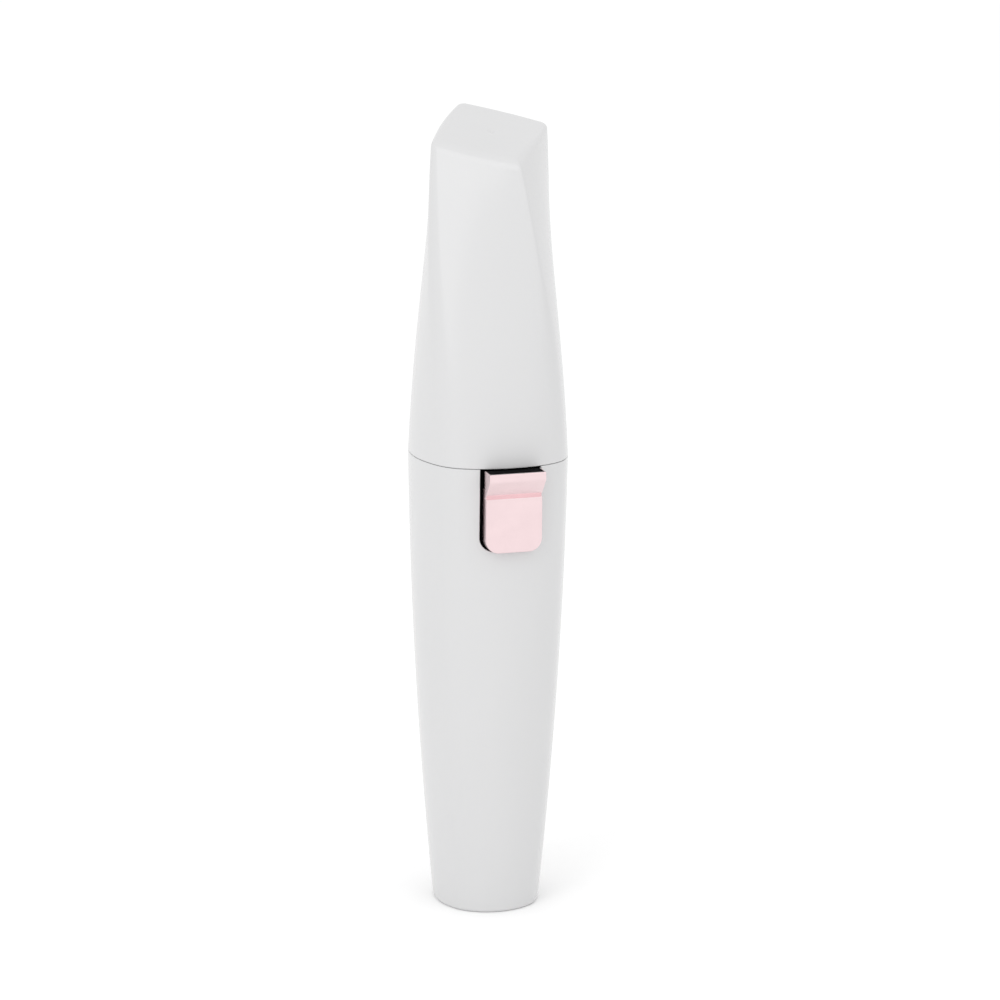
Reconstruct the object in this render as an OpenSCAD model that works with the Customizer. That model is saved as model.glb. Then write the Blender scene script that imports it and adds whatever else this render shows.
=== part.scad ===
// Pen-shaped facial epilator: a tapered handle with a sliding switch, a rotating
// tweezer head driven through a gear train, and a twisted protective cap.
// The origin is the centre of the base's flat underside. +Z runs up to the cap,
// and the switch faces -Y.

/* [Handle] */
// Height of the parting line between handle and cap
seam_z = 83.75; // [80:0.25:88]
// Half width of the base along X
base_half_x = 9.5; // [9.2:0.1:10.5]
// Half depth of the base along Y
base_half_y = 10.2; // [9.8:0.1:11]
// Half width at the parting line along X
seam_half_x = 14.05; // [13.8:0.05:15]
// Half depth at the parting line along Y
seam_half_y = 15; // [14.8:0.05:16]
// How far the sides swell between base and parting line
belly = 0.8; // [0.4:0.05:1]
// Wall thickness of the handle
wall = 1.5; // [1.3:0.1:1.6]

/* [Cap] */
// Height of the cap on its axis, from the parting line to the top face
cap_h = 58.2; // [56:0.1:62]
// Half width of the square top
top_half = 8.65; // [8.4:0.05:9.2]
// Turn of the section from parting line to top, in degrees
cap_turn = 35; // [25:1:40]
// Slope of the top face, in degrees
top_slope = 17; // [0:1:20]
// Wall thickness of the cap
cap_wall = 1.4; // [1.2:0.1:1.5]
// Open gap at the parting line
seam_gap = 0.1; // [0.1:0.05:0.3]

/* [Switch] */
// Half width of the recess in the handle
recess_half = 5.6; // [5.5:0.1:5.8]
// Length of the recess below the parting line
recess_l = 15.05; // [15:0.05:15.5]
// How far the thumb plate's face is in front of the handle's axis
plate_y = 16.4; // [16.2:0.1:17]
// How far the thumb ridge stands out from the plate
ridge_out = 2.2; // [1.8:0.1:2.4]
// Travel of the slider, from off to on
switch_travel = 2.5; // [2:0.1:2.5]

/* [Drive] */
// Gear module
gear_m = 0.5; // [0.5]
// Teeth of the motor pinion
pinion_t = 10; // [10]
// Teeth of the crown gear
crown_t = 24; // [24]
// Teeth of the spur moulded onto the crown gear
spur_t = 12; // [12]
// Teeth of the idler and of the drum gear
idler_t = 18; // [18]
// Play between meshing teeth
backlash = 0.08; // [0.06:0.01:0.12]

/* [Head] */
// Outer radius of the tweezer discs
drum_r = 5; // [4.8:0.1:5]
// Number of tweezer pairs along the drum
pairs = 6; // [4:1:7]

/* [Hidden] */

EPS = 0.01;
// Beyond every surface, for cutting right through.
far = 20;
side_n = 8;
corner_n = 6;

// Corner radii and side arcs of the section at base, parting line and top.
base_corner_r = 6.1;
base_arc = 35;
seam_corner_r = 8.05;
seam_arc = 27.3;
top_corner_r = 1.65;
top_arc = 4.3;
base_edge_r = 0.5;
top_edge_r = 1.3;
floor_t = 2;
// How the cap narrows and turns between parting line and top.
cap_ease = -0.496;
cap_skew = -0.072;
turn_ease = -0.306;

// Neck and seal, inside the cap.
neck_low = 79;
neck_top = 90;
neck_play = 0.35;
neck_wall = 1.5;
seal_low = 86;
seal_top = 87.2;
seal_play = 0.2;
seal_depth = 0.6;
ring_top = 91;

// Charging port in the base.
port_y = 3.4;
port_w = 8.94;
port_d = 3.16;
port_low = 0.3;
port_l = 7.3;
port_clear = 0.2;
port_skin = 0.3;

// Battery.
cell_r = 7;
cell_y = 1;
cell_low = 16.8;
cell_l = 50;
cell_top = cell_low + cell_l;
button_h = 0.8;
contact_t = 0.2;

// Switch. Heights are counted from the parting line, and depths are distances to -Y.
recess_corner = 2.6;
recess_depth = 9;
trim_corner = 2.4;
bed_corner = 2.5;
trim_half = 5.15;
trim_back = 14.1;
trim_skin = 0.5;
cap_clear_y = seam_half_y + 0.25;
plate_low = -14.85;
root_z = -4.65;
lip_z = -1.5;
lip_top = -0.1;
shelf_z = -3.4;
web_z = -2.8;
tip_y = plate_y + ridge_out;
core_y = tip_y - trim_skin;
ridge_drop = root_z - lip_z;
skin_rise = trim_skin * sqrt(ridge_out * ridge_out + ridge_drop * ridge_drop) / ridge_out;
core_z = lip_z + ridge_drop / ridge_out * trim_skin + skin_rise;
shelf_y = tip_y - (shelf_z - lip_z - skin_rise) * ridge_out / ridge_drop;
carrier_low = -13.6;
carrier_back = 13.5;
stem_end = 10.7;
bed_y = 13.35;
bed_gap = 0.3;
bed_room = 8;
flange_half = 6.8;
flange_y = 11.6;
flange_back = 10.9;
seal_back = 10.6;
switch_front = 9.6;
knob_front = 12.3;
knob_back = 8.7;
knob_z = -9.5;
stem = 4;
knob = 1.6;

// Main board.
board_front = 7.4;
board_back = 6.4;
board_low = 62;
board_high = 82;
board_half = 7;
screw_z = 80.3;
screw_x = 5.6;
screw_r = 0.7;

// Motor.
motor_r = 6;
motor_low = 72;
motor_top = 92;
motor_skin = 0.35;
bell_low = 70.5;
shaft_r = 0.75;
shaft_play = 0.05;
bush_r = 2;
terminal_x = 2.5;
magnet_r = 5.6;
magnet_t = 1.2;
magnet_low = 76;
magnet_l = 11;
core_low = 77;
core_l = 9;
rotor_r = 3.95;
commutator_low = 73;
commutator_r = 1.65;
brush_z = 73.9;

// Gear train. All gear axes but the motor's run along X.
pressure = 25;
pinion_low = 100;
pinion_top = 103;
pinion_r = gear_m * pinion_t / 2;
crown_r = gear_m * crown_t / 2;
spur_r = gear_m * spur_t / 2;
idler_r = gear_m * idler_t / 2;
crown_z = (pinion_low + pinion_top) / 2 + crown_r;
idler_z = crown_z + spur_r + idler_r;
drum_z = idler_z + 2 * idler_r;
axle_r = 0.6;
frame_x = 0.9;
frame_t = 1;
frame_low = 92.8;
frame_foot = 94;
frame_half = 6.2;
frame_arm = 2;
axle_land = 2.5;
cover_x = 6.9;
cover_low_x = 6.1;
cover_screw_y = 4.4;
cover_screw_z = 98.4;
crown_band = 0.65;
tooth_up = 0.95 * gear_m;
tooth_down = 1.25 * gear_m;
crown_root_x = pinion_r + tooth_down;
crown_disc_t = 1;
spur_low_x = crown_root_x + crown_disc_t;
spur_high_x = spur_low_x + 1.9;
idler_low_x = spur_low_x + 0.2;
idler_high_x = spur_high_x - 0.2;

// Drum and head.
drum_axle_r = 0.8;
bush_outer = 1.3;
disc_hole_r = 2.4;
drum_left = -5;
drum_right = 4.1;
core_r = 4.5;
disc_t = 0.25;
pair_gap = 0.35;
head_inner_x = 7;
head_outer_x = 8.1;
ear_r = 6.3;
window_z = drum_z - 3;
head_wall = 1.3;
head_arc = 12;

// ---- The section: a square with bowed sides and rounded corners ----

// Radius, less the corner radius, of the arc that forms a side.
function reach(p, q, b) = (sin(b) * q - (1 - cos(b)) * p) / (2 * cos(b) * (1 - cos(b)));

function arc(c, r, from, to, n) =
    [for (i = [0:n - 1]) let (t = from + (to - from) * i / n) c + r * [cos(t), sin(t)]];

function turned(points, a) =
    [for (p = points) [p[0] * cos(a) - p[1] * sin(a), p[0] * sin(a) + p[1] * cos(a)]];

// One side, at half distance h from the centre, and the corner after it.
function quarter(h, g, r, b) =
    let (a = reach(h - r, g - r, b), c = h - a - r)
    concat(
        arc([c, 0], a + r, -b, b, side_n),
        arc([c + a * cos(b), a * sin(b)], r, b, 90 - b, corner_n)
    );

function section(hx, hy, r, b) = concat(
    quarter(hx, hy, r, b),
    turned(quarter(hy, hx, r, b), 90),
    turned(quarter(hx, hy, r, b), 180),
    turned(quarter(hy, hx, r, b), 270)
);

function mix(a, b, t) = a + (b - a) * t;

// Ring of the handle's surface at height z, set in by d.
function handle_ring(z, d) =
    let (u = z / seam_z, f = u + belly * u * (1 - u))
    [
        for (p = section(
            mix(base_half_x, seam_half_x, f) - d,
            mix(base_half_y, seam_half_y, f) - d,
            mix(base_corner_r, seam_corner_r, u) - d,
            mix(base_arc, seam_arc, u)
        )) [p[0], p[1], z]
    ];

// Ring of the cap's surface at share u of its height, set in by d. Rings tilt
// gradually until the last one lies in the sloping top face.
function cap_ring(u, d) =
    let (
        f = u + cap_ease * u * (1 - u) + cap_skew * u * (1 - u) * (1 - 2 * u),
        a = -cap_turn * (u + turn_ease * u * (1 - u))
    )
    [
        for (p = turned(section(
            mix(seam_half_x, top_half, f) - d,
            mix(seam_half_y, top_half, f) - d,
            mix(seam_corner_r, top_corner_r, u) - d,
            mix(seam_arc, top_arc, u)
        ), a)) [p[0], p[1], seam_z + cap_h * u + tan(top_slope) * u * p[1]]
    ];

// The same section cut level at height z, for what fits inside the cap.
function level_ring(z, d) = [for (p = cap_ring((z - seam_z) / cap_h, d)) [p[0], p[1], z]];

function centre(ring) = [for (p = ring) 1] * ring / len(ring);

// A closed solid through rings of equal length. Where the last ring isn't level, its end
// is a fan of triangles about its centre.
module loft(rings, fan = false) {
    n = len(rings[0]);
    last = (len(rings) - 1) * n;
    hub = last + n;
    points = [for (ring = rings) each ring];
    end = fan
        ? [for (i = [0:n - 1]) [hub, last + (i + 1) % n, last + i]]
        : [[for (i = [n - 1:-1:0]) last + i]];
    sides = [
        for (j = [0:len(rings) - 2], i = [0:n - 1])
            let (a = j * n + i, b = j * n + (i + 1) % n)
            each [[a, b + n, b], [a, a + n, b + n]]
    ];
    polyhedron(
        fan ? concat(points, [centre(rings[len(rings) - 1])]) : points,
        concat([[for (i = [0:n - 1]) i]], end, sides)
    );
}

// A round-sided wire along points that share one x.
module wire(points, r) {
    n = 8;
    ways = [
        for (i = [0:len(points) - 1])
            let (d = points[min(i + 1, len(points) - 1)] - points[max(i - 1, 0)])
            d / norm(d)
    ];
    loft([
        for (i = [0:len(points) - 1])
            [for (k = [0:n - 1])
                points[i] + r * (cos(360 * k / n) * cross(ways[i], [1, 0, 0])
                    + sin(360 * k / n) * cross(ways[i], cross(ways[i], [1, 0, 0])))]
    ]);
}

// A cylinder along +X from x = low to x = high, at height z on the middle plane.
module x_cylinder(low, high, r, z, $fn = 48) {
    translate([low, 0, z])
        rotate([0, 90, 0]) cylinder(r = r, h = high - low);
}

// A box between two opposite corners.
module block(a, b) {
    translate(a) cube(b - a);
}

// ---- Gear teeth ----

function involute(a) = tan(a) * 180 / PI - a;

// Half the angle of a tooth at radius r.
function tooth_half(r, teeth) =
    let (p = gear_m * teeth / 2, base = p * cos(pressure))
    90 / teeth - backlash / p * 90 / PI + involute(pressure) - involute(acos(base / max(r, base)));

function polar(r, a) = [r * cos(a), r * sin(a)];

function gear_outline(teeth) =
    let (
        p = gear_m * teeth / 2,
        root = p - tooth_down,
        base = max(root + 0.05, p * cos(pressure)),
        steps = [root, base, (base + p) / 2, p, p + tooth_up / 2, p + tooth_up]
    )
    [
        for (i = [0:teeth - 1]) each concat(
            [for (r = steps) polar(r, 360 * i / teeth - tooth_half(r, teeth))],
            [for (k = [len(steps) - 1:-1:0])
                polar(steps[k], 360 * i / teeth + tooth_half(steps[k], teeth))]
        )
    ];

// A spur gear about X from x = low to x = high, with a tooth pointing down.
module x_gear(teeth, low, high, z, phase) {
    translate([low, 0, z])
        rotate([0, 90, 0])
            rotate([0, 0, phase])
                linear_extrude(height = high - low) polygon(gear_outline(teeth));
}

// ---- Handle, neck and cap ----

module slot_shape(half, length, r) {
    translate([-half, r - length]) square([2 * half, length - r + 1]);
    translate([r - half, -length]) square([2 * (half - r), length]);
    for (s = [-1, 1])
        translate([s * (half - r), r - length]) circle(r = r, $fn = 48);
}

// A plate shaped by slot_shape, from y = -front to y = -back, hung from the parting line.
module y_plate(half, length, r, front, back) {
    translate([0, -back, seam_z])
        rotate([90, 0, 0]) linear_extrude(height = front - back) slot_shape(half, length, r);
}

// A stadium-shaped bar along Z around the charging port's axis.
module port_solid(w, d, low, high) {
    r = d / 2;
    translate([0, port_y, low]) {
        translate([r - w / 2, -r, 0]) cube([w - d, d, high - low]);
        for (s = [-1, 1])
            translate([s * (w / 2 - r), 0, 0]) cylinder(r = r, h = high - low, $fn = 48);
    }
}

module handle_shell() {
    rim = seam_z - seam_gap / 2;
    rings = 10;
    color("whitesmoke")
        difference() {
            loft(concat(
                [for (a = [0:30:90])
                    handle_ring(base_edge_r * (1 - cos(a)), base_edge_r * (1 - sin(a)))],
                [for (i = [1:rings]) handle_ring(mix(base_edge_r, rim, i / rings), 0)],
                [for (i = [rings:-1:0]) handle_ring(mix(floor_t, rim, i / rings), wall)]
            ));
            y_plate(recess_half, recess_l, recess_corner, far, recess_depth);
            port_solid(port_w + 2 * port_clear, port_d + 2 * port_clear, -1, floor_t + 1);
        }
}

// Rings that also run straight on past both ends, for cutting a hole right through.
function through(rings) =
    let (last = rings[len(rings) - 1])
    concat(
        [[for (p = rings[0]) p - [0, 0, 1]]], rings, [[for (p = last) p + [0, 0, 1]]]
    );

// A band between two insets of the cap's outer surface.
module band(low, high, outer, inner) {
    difference() {
        loft([for (z = [low, high]) level_ring(z, outer)]);
        loft(through([for (z = [low, high]) level_ring(z, inner)]));
    }
}

module neck() {
    slip = 0.1;
    collar = cap_wall + neck_play;
    groove = collar + seal_depth;
    low = seam_z + seam_gap / 2;
    // Height and inset of the collar's outside, with the seal's groove.
    outside = [
        [low, collar], [seal_low, collar], [seal_low, groove],
        [seal_top, groove], [seal_top, collar], [neck_top, collar]
    ];
    color("white")
        difference() {
            loft(concat(
                [for (z = [neck_low, seam_z - seam_gap / 2]) handle_ring(z, wall + slip)],
                [for (p = outside) level_ring(p[0], p[1])]
            ));
            loft(through(concat(
                [for (z = [neck_low, seam_z]) handle_ring(z, wall + slip + neck_wall)],
                [for (z = [low, neck_top]) level_ring(z, groove + neck_wall)]
            )));
            // Room for the switch bed below the parting line.
            block([-bed_room, -far, neck_low - 1], [bed_room, 0.1 - seal_back, seam_z - bed_gap]);
        }
}

module cap_seal() {
    color("gainsboro")
        band(seal_low, seal_top, cap_wall + seal_play, cap_wall + neck_play + seal_depth);
}

module collar_ring() {
    color("pink")
        band(neck_top, ring_top, cap_wall + neck_play + 0.1, cap_wall + neck_play + seal_depth + 1.4);
}

module cap() {
    rings = 14;
    low = seam_gap / 2 / cap_h;
    edge = 1 - top_edge_r / cap_h;
    ceiling = 1 - cap_wall / cap_h;
    color("white")
        difference() {
            loft(concat(
                [for (i = [0:rings]) cap_ring(mix(low, edge, i / rings), 0)],
                [for (a = [30:30:90])
                    cap_ring(1 - top_edge_r * (1 - sin(a)) / cap_h, top_edge_r * (1 - cos(a)))]
            ), fan = true);
            loft(
                [for (i = [0:rings]) cap_ring(mix(-low, ceiling, i / rings), cap_wall)],
                fan = true
            );
        }
}

// ---- Switch ----

// Extrudes an outline drawn in [y, z - seam_z] over both sides of the middle plane.
module side_profile(half, points) {
    translate([-half, 0, seam_z])
        rotate([90, 0, 90]) linear_extrude(height = 2 * half) polygon(points);
}

module switch_trim() {
    color("pink")
        intersection() {
            side_profile(trim_half, [
                [-trim_back, plate_low], [-plate_y, plate_low], [-plate_y, root_z],
                [-tip_y, lip_z], [-tip_y, lip_top], [-core_y, lip_top],
                [-core_y, core_z], [-shelf_y, shelf_z], [-trim_back, shelf_z]
            ]);
            y_plate(trim_half, -plate_low, trim_corner, far, recess_depth);
        }
}

// Black slide: the ridge's core, a back plate, and a hollow stem around the switch knob.
module switch_carrier() {
    half = trim_half - 0.2;
    color("black")
        difference() {
            union() {
                side_profile(half, [
                    [-trim_back, carrier_low], [-carrier_back, carrier_low],
                    [-carrier_back, web_z], [-cap_clear_y, web_z], [-cap_clear_y, lip_top],
                    [-core_y, lip_top], [-core_y, core_z], [-shelf_y, shelf_z],
                    [-trim_back, shelf_z]
                ]);
                knob_block(stem / 2, carrier_back + EPS, stem_end);
            }
            knob_block(knob / 2 + 0.05, knob_front + 0.05, 0);
        }
}

// A square bar along Y at the switch knob's height, from y = -front to y = -back.
module knob_block(half, front, back) {
    block(
        [-half, -front, seam_z + knob_z - half],
        [half, -back, seam_z + knob_z + half]
    );
}

// Window through which the stem travels.
module stem_window(front, back) {
    half = stem / 2 + 0.2;
    block(
        [-half, -front, seam_z + knob_z - half],
        [half, -back, seam_z + knob_z + half + switch_travel]
    );
}

module switch_bed() {
    bed_top = seam_z - 0.4;
    color("black")
        difference() {
            union() {
                y_plate(recess_half - 0.1, recess_l - 0.1, bed_corner, bed_y, flange_y);
                block(
                    [-flange_half, -flange_y, seam_z - recess_l - 2],
                    [flange_half, -flange_back, bed_top]
                );
            }
            stem_window(far, 0);
            block([-far, -far, bed_top], [far, 0, seam_z + 5]);
        }
}

module switch_seal() {
    color("dimgray")
        difference() {
            block(
                [-6, -flange_back, seam_z - recess_l - 1],
                [6, -seal_back, seam_z - 3]
            );
            stem_window(far, 0);
        }
}

module slide_switch() {
    color("silver")
        difference() {
            block(
                [-4.3, -switch_front, seam_z + knob_z - 3.5],
                [4.3, -board_front, seam_z + knob_z + 6]
            );
            block(
                [-knob / 2 - 0.1, -switch_front - 1, seam_z + knob_z - knob / 2 - 0.3],
                [knob / 2 + 0.1, -knob_back + 0.2, seam_z + knob_z + knob / 2 + switch_travel + 0.3]
            );
        }
}

module switch_actuator() {
    color("dimgray") knob_block(knob / 2, knob_front, knob_back);
}

// ---- Boards, battery and wires ----

module main_board() {
    color("darkgreen")
        difference() {
            block([-board_half, -board_front, board_low], [board_half, -board_back, board_high]);
            for (x = [-screw_x, screw_x])
                translate([x, 0, screw_z])
                    rotate([90, 0, 0]) cylinder(r = screw_r + 0.1, h = far, $fn = 32);
        }
}

module board_components() {
    color("dimgray") {
        for (z = [63.2, 66.4])
            block([-3, -board_front - 1, z], [0.5, -board_front, z + 2.4]);
        for (i = [0:4])
            block([2 + i, -board_front - 0.6, 64], [2.5 + i, -board_front, 65.2]);
        for (x = [-4.6, 4.6])
            translate([x, -board_front, 66.5])
                rotate([90, 0, 0]) cylinder(r = 0.9, h = 1.2, $fn = 32);
    }
}

module board_screws() {
    color("silver")
        for (x = [-screw_x, screw_x])
            translate([x, -board_front, screw_z])
                rotate([-90, 0, 0]) screw(screw_r, 1.2, 0.6, 4);
}

// A pan-head screw along +Z, its head below z = 0.
module screw(r, head_r, head_h, length) {
    difference() {
        union() {
            cylinder(r = r, h = length, $fn = 32);
            translate([0, 0, -head_h]) cylinder(r = head_r, h = head_h, $fn = 32);
        }
        for (a = [0, 90])
            translate([0, 0, -head_h])
                rotate([0, 0, a]) cube([1.4 * head_r, 0.3, 0.5], center = true);
    }
}

module charge_board() {
    back = port_y + port_d / 2;
    color("darkgreen") block([-5, back, floor_t + 0.6], [5, back + 0.8, 13]);
}

module usb_shell() {
    high = port_low + port_l;
    color("silver")
        difference() {
            port_solid(port_w, port_d, port_low, high);
            port_solid(port_w - 2 * port_skin, port_d - 2 * port_skin, port_low - 1, high - 0.6);
        }
}

module usb_tongue() {
    color("black") {
        block([-3.35, port_y - 0.35, 1.2], [3.35, port_y + 0.35, 6.2]);
        port_solid(port_w - 2 * port_skin, port_d - 2 * port_skin, 6.2, port_low + port_l - 0.6);
    }
}

// A round bar along Z on the battery's axis.
module cell_bar(r, low, high) {
    translate([0, cell_y, low]) cylinder(r = r, h = high - low, $fn = 64);
}

module battery_cell() {
    color("steelblue") cell_bar(cell_r, cell_low, cell_top);
}

module battery_terminal() {
    color("silver") cell_bar(2.7, cell_top, cell_top + button_h);
}

// Spring-steel strip across one end of the cell, from z = low up.
module contact(low) {
    color("silver") block([-2.5, -board_back, low], [2.5, cell_y + 2, low + contact_t]);
}

module contact_positive() {
    contact(cell_top + button_h);
}

module contact_negative() {
    contact(cell_low - contact_t);
}

module battery_wires() {
    wire_y = 7;
    color("firebrick")
        for (x = [-1.5, 1.5])
            wire([
                [x, -6.45, cell_low - 0.1], [x, -wire_y, cell_low + 0.2], [x, -wire_y, 20],
                [x, -wire_y, 40], [x, -wire_y, board_low - 1.5], [x, -6.9, board_low - 0.1]
            ], 0.4);
}

module motor_wires() {
    height = bell_low - 1.1;
    color("black")
        for (x = [-terminal_x, terminal_x])
            wire([
                [x, -board_back + 0.05, height], [x, -5.4, height], [x, -3.6, height - 0.1],
                [x, -1.4, height - 0.1]
            ], 0.35);
}

// Half-round tray along Z with its open side facing -Y.
module tray(inner, outer, y, low, high) {
    difference() {
        translate([0, y, low]) cylinder(r = outer, h = high - low, $fn = 64);
        translate([0, y, low - 1]) cylinder(r = inner, h = high - low + 2, $fn = 64);
        block([-far, -far, low - 1], [far, y - 2, high + 1]);
    }
}

module chassis() {
    inner = cell_r + 0.15;
    outer = 8.4;
    saddle = motor_r + 0.1;
    stop = cell_top + 1.8;
    color("dimgray")
        difference() {
            union() {
                tray(inner, outer, cell_y, cell_low - 3, stop);
                // Shelf under the cell and stop above it.
                for (z = [[cell_low - 1.8, cell_low - 0.2], [stop - 0.8, stop]])
                    intersection() {
                        cell_bar(inner + EPS, z[0], z[1]);
                        block([-far, cell_y - 4, 0], [far, far, motor_top]);
                    }
                tray(saddle, saddle + 1.3, 0, stop - EPS, motor_top - 2);
                // Posts of the main board.
                for (x = [-screw_x, screw_x])
                    translate([x, -board_back, screw_z])
                        rotate([-90, 0, 0]) cylinder(r = 1.3, h = 5.5, $fn = 32);
            }
            for (x = [-screw_x, screw_x])
                translate([x, -board_back - 1, screw_z])
                    rotate([-90, 0, 0]) cylinder(r = screw_r, h = 4.5, $fn = 32);
            translate([0, 0, motor_low - 5]) cylinder(r = saddle, h = 2 * far, $fn = 64);
        }
}

// ---- Motor ----

module z_ring(inner, outer, low, high) {
    difference() {
        translate([0, 0, low]) cylinder(r = outer, h = high - low, $fn = 64);
        translate([0, 0, low - 1]) cylinder(r = inner, h = high - low + 2, $fn = 64);
    }
}

module motor_can() {
    color("silver") {
        z_ring(motor_r - motor_skin, motor_r, motor_low, motor_top - motor_skin);
        z_ring(bush_r, motor_r, motor_top - motor_skin, motor_top);
    }
}

module motor_magnets() {
    color("dimgray")
        intersection() {
            z_ring(magnet_r - magnet_t, magnet_r, magnet_low, magnet_low + magnet_l);
            for (s = [0, 180])
                rotate([0, 0, s]) block([2, -4, motor_low], [far, 4, motor_top]);
        }
}

module motor_end_bell() {
    color("white")
        difference() {
            z_ring(bush_r, motor_r, bell_low, motor_low);
            for (x = [-terminal_x, terminal_x])
                block([x - 0.65, -1.4, bell_low - 1], [x + 0.65, -1, motor_low + 1]);
        }
}

module motor_terminals() {
    color("gold")
        for (x = [-terminal_x, terminal_x])
            block([x - 0.6, -1.35, bell_low - 2], [x + 0.6, -1.05, motor_low + 0.8]);
}

module motor_brushes() {
    color("orange")
        for (s = [0, 180])
            rotate([0, 0, s])
                block([commutator_r + 0.1, -0.4, brush_z - 0.7], [4, 0.4, brush_z + 0.7]);
}

module motor_bushes() {
    color("goldenrod") {
        z_ring(shaft_r + shaft_play, bush_r, bell_low, motor_low + 0.6);
        z_ring(shaft_r + shaft_play, bush_r, motor_top - 1.2, motor_top + 0.8);
    }
}

module rotor_shaft() {
    color("silver") translate([0, 0, bell_low - 0.5])
        cylinder(r = shaft_r, h = pinion_top + 0.5 - bell_low, $fn = 32);
}

module rotor_core() {
    color("peru")
        difference() {
            z_ring(shaft_r, rotor_r, core_low, core_low + core_l);
            for (a = [0:120:240])
                rotate([0, 0, a]) block([2.6, -0.5, motor_low], [far, 0.5, motor_top]);
        }
}

module commutator() {
    color("goldenrod") z_ring(shaft_r, commutator_r, commutator_low, core_low - 0.2);
}

module motor_pinion() {
    color("goldenrod")
        difference() {
            translate([0, 0, pinion_low])
                rotate([0, 0, 180 / pinion_t])
                    linear_extrude(height = pinion_top - pinion_low) polygon(gear_outline(pinion_t));
            translate([0, 0, pinion_low - 1]) cylinder(r = shaft_r, h = far, $fn = 32);
        }
}

// ---- Gear train ----

module crown_gear() {
    tip_up = 0.75 * gear_m;
    low = crown_r - crown_band;
    slant = tan(pressure);
    half = PI * gear_m / 4 - backlash / 2;
    // Outline of one face tooth: width across, height along X from the pitch plane.
    tooth = [
        [-half - tooth_down * slant, tooth_down + EPS], [-half + tip_up * slant, -tip_up],
        [half - tip_up * slant, -tip_up], [half + tooth_down * slant, tooth_down + EPS]
    ];
    color("white")
        difference() {
            union() {
                x_cylinder(crown_root_x, spur_low_x, crown_r + crown_band, crown_z);
                x_cylinder(frame_x + 1.2, crown_root_x + EPS, 1.8, crown_z);
                x_gear(spur_t, spur_low_x - EPS, spur_high_x, crown_z, 0);
                for (i = [0:crown_t - 1])
                    translate([pinion_r, 0, crown_z])
                        rotate([360 * i / crown_t, 0, 0])
                            translate([0, 0, low])
                                linear_extrude(height = 2 * crown_band)
                                    polygon([for (p = tooth) [p[1], p[0]]]);
            }
            x_cylinder(0, 10, axle_r + shaft_play, crown_z, $fn = 32);
        }
}

module idler_gear() {
    color("ivory")
        difference() {
            x_gear(idler_t, idler_low_x, idler_high_x, idler_z, 180 / idler_t);
            x_cylinder(0, 10, axle_r + shaft_play, idler_z, $fn = 32);
        }
}

module drum_gear() {
    color("ivory")
        difference() {
            x_gear(idler_t, idler_low_x, idler_high_x, drum_z, 0);
            x_cylinder(0, 10, bush_outer, drum_z, $fn = 48);
        }
}

module crown_axle() {
    color("silver") x_cylinder(frame_x, cover_x, axle_r, crown_z, $fn = 32);
}

module idler_axle() {
    color("silver") x_cylinder(frame_x, cover_x, axle_r, idler_z, $fn = 32);
}

// Black bracket that stands on the motor and holds the left ends of the gear axles.
module gear_frame() {
    face = frame_x + frame_t;
    low = crown_z - axle_land;
    color("dimgray")
        difference() {
            union() {
                z_ring(bush_r + 0.4, motor_r + 0.8, frame_low, frame_foot);
                for (y = [-frame_half, frame_half - frame_arm])
                    block([frame_x, y, frame_foot - EPS], [face, y + frame_arm, low]);
                block([frame_x, -frame_half, low - EPS], [face, frame_half, crown_z + 1.5]);
                block([frame_x, -3, crown_z], [face, 3, idler_z + axle_land]);
                // Posts of the cover's screws.
                for (y = [-cover_screw_y, cover_screw_y])
                    translate([0, y, 0]) x_cylinder(frame_x, cover_low_x, 1, cover_screw_z);
            }
            for (y = [-cover_screw_y, cover_screw_y])
                translate([0, y, 0]) x_cylinder(cover_x - 3, 10, 0.5, cover_screw_z, $fn = 32);
            for (z = [crown_z, idler_z])
                x_cylinder(0, 10, axle_r, z, $fn = 32);
        }
}

// Plate outside the gears that holds the right ends of the axles.
module gear_cover() {
    color("dimgray")
        difference() {
            union() {
                block([cover_low_x, -5.2, cover_screw_z - 1.2], [cover_x, 5.2, crown_z + 1]);
                block([cover_low_x, -4, crown_z + 1 - EPS], [cover_x, 4, drum_z]);
                x_cylinder(cover_low_x, cover_x, 4.4, drum_z);
            }
            for (z = [crown_z, idler_z])
                x_cylinder(0, 10, axle_r, z, $fn = 32);
            x_cylinder(0, 10, drum_axle_r, drum_z, $fn = 32);
            for (y = [-cover_screw_y, cover_screw_y])
                translate([0, y, 0]) x_cylinder(0, 10, 0.5, cover_screw_z, $fn = 32);
        }
}

module cover_screws() {
    color("silver")
        for (y = [-cover_screw_y, cover_screw_y])
            translate([cover_x, y, cover_screw_z]) rotate([0, -90, 0]) screw(0.5, 1, 0.5, 3);
}

// ---- Tweezer drum ----

module drum_axle() {
    color("silver") x_cylinder(-head_inner_x, cover_x, drum_axle_r, drum_z, $fn = 32);
}

module drum_bushes() {
    color("goldenrod")
        for (x = [[drum_left, drum_left + 2], [idler_high_x - 2, idler_high_x]])
            difference() {
                x_cylinder(x[0], x[1], bush_outer, drum_z, $fn = 48);
                x_cylinder(x[0] - 1, x[1] + 1, drum_axle_r + shaft_play, drum_z, $fn = 32);
            }
}

// Places of the discs: each pair has a fixed disc and a moving one.
pair_pitch = (drum_right - drum_left - 1.2) / pairs;
function pair_x(i) = drum_left + 0.6 + pair_pitch * (i + 0.5);

module drum_core() {
    color("white")
        difference() {
            x_cylinder(drum_left, drum_right, core_r, drum_z, $fn = 72);
            x_cylinder(-10, 10, bush_outer, drum_z, $fn = 48);
            for (i = [0:pairs - 1], s = [-1, 1])
                x_slot(pair_x(i) + s * (pair_gap + disc_t) / 2);
        }
}

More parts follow.
